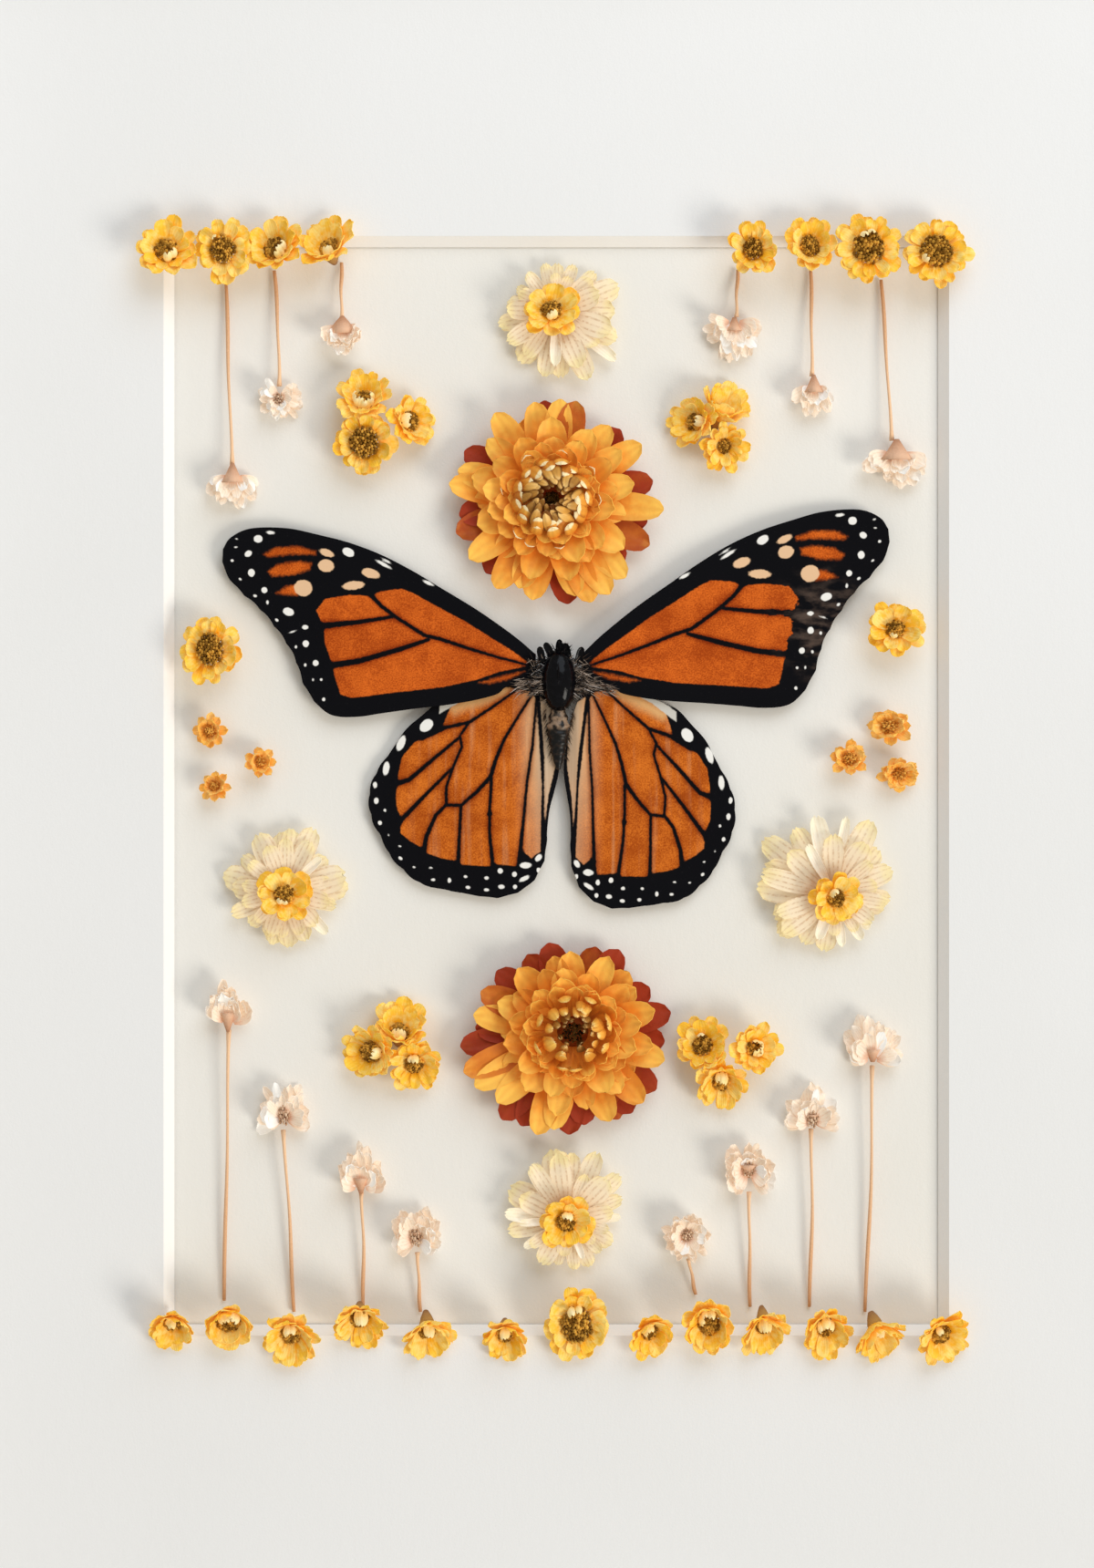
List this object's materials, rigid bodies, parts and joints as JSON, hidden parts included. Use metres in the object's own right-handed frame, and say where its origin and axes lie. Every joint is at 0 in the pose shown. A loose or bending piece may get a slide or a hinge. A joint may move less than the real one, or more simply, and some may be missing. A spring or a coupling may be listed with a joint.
{
  "type": "pressed flower frame",
  "caption": "White frame holding a spread orange and black butterfly and dried everlasting flowers, glued on a cream board and round the bevel-cut window of a white mat.",
  "frame": {"origin": "middle of the back, on the surface that the frame lies on", "axes": "+Z points out of the picture's face, +Y to the picture's top along its long side, +X to its right"},
  "size_m": [0.2572, 0.3334, 0.017],
  "materials": {
    "painted_wood": "white satin paint",
    "mat_board": "matt white, fine tooth",
    "mount_card": "matt cream",
    "insect_body": "shiny black shell with short grey-brown hair",
    "wing": "orange wing scales with black veins and white spots",
    "straw_bracts": "stiff glossy dried bracts, orange to dark red with cream tips",
    "papery_petals": "thin translucent ivory, veined",
    "cream_petals": "dry cream petals on tan calyx and stem",
    "yellow_petals": "dry yellow petals round a granular brown disc",
    "orange_petals": "dry pale orange petals"
  },
  "bodies": {
    "root": {"frame_rail_top": "painted_wood", "frame_rail_bottom": "painted_wood", "frame_rail_left": "painted_wood", "frame_rail_right": "painted_wood", "window_mat": "mat_board", "mount_board": "mount_card", "butterfly_body": "insect_body", "left_forewing": "wing", "right_forewing": "wing", "left_hindwing": "wing", "right_hindwing": "wing", "strawflower_top": "straw_bracts", "strawflower_bottom": "straw_bracts", "papery_flower_top": "papery_petals", "papery_flower_left": "papery_petals", "papery_flower_right": "papery_petals", "papery_flower_bottom": "papery_petals", "hanging_flower_left_1": "cream_petals", "hanging_flower_left_2": "cream_petals", "hanging_flower_left_3": "cream_petals", "hanging_flower_right_1": "cream_petals", "hanging_flower_right_2": "cream_petals", "hanging_flower_right_3": "cream_petals", "standing_flower_left_1": "cream_petals", "standing_flower_left_2": "cream_petals", "standing_flower_left_3": "cream_petals", "standing_flower_left_4": "cream_petals", "standing_flower_right_1": "cream_petals", "standing_flower_right_2": "cream_petals", "standing_flower_right_3": "cream_petals", "standing_flower_right_4": "cream_petals", "star_cluster_upper_left": "yellow_petals", "star_cluster_upper_right": "yellow_petals", "star_cluster_lower_left": "yellow_petals", "star_cluster_lower_right": "yellow_petals", "star_flower_left": "yellow_petals", "star_flower_right": "yellow_petals", "star_row_top_left": "yellow_petals", "star_flower_top_right": "yellow_petals", "star_row_top_right": "yellow_petals", "bottom_star_01": "yellow_petals", "bottom_star_02": "yellow_petals", "bottom_star_03": "yellow_petals", "bottom_star_04": "yellow_petals", "bottom_star_05": "yellow_petals", "bottom_star_06": "yellow_petals", "bottom_star_07": "yellow_petals", "bottom_star_08": "yellow_petals", "bottom_star_09": "yellow_petals", "bottom_star_10": "yellow_petals", "bottom_star_11": "yellow_petals", "bottom_star_12": "yellow_petals", "bottom_star_13": "yellow_petals", "orange_flower_left_1": "orange_petals", "orange_flower_left_2": "orange_petals", "orange_flower_left_3": "orange_petals", "orange_flower_right_1": "orange_petals", "orange_flower_right_2": "orange_petals", "orange_flower_right_3": "orange_petals"}
  },
  "joints": []
}
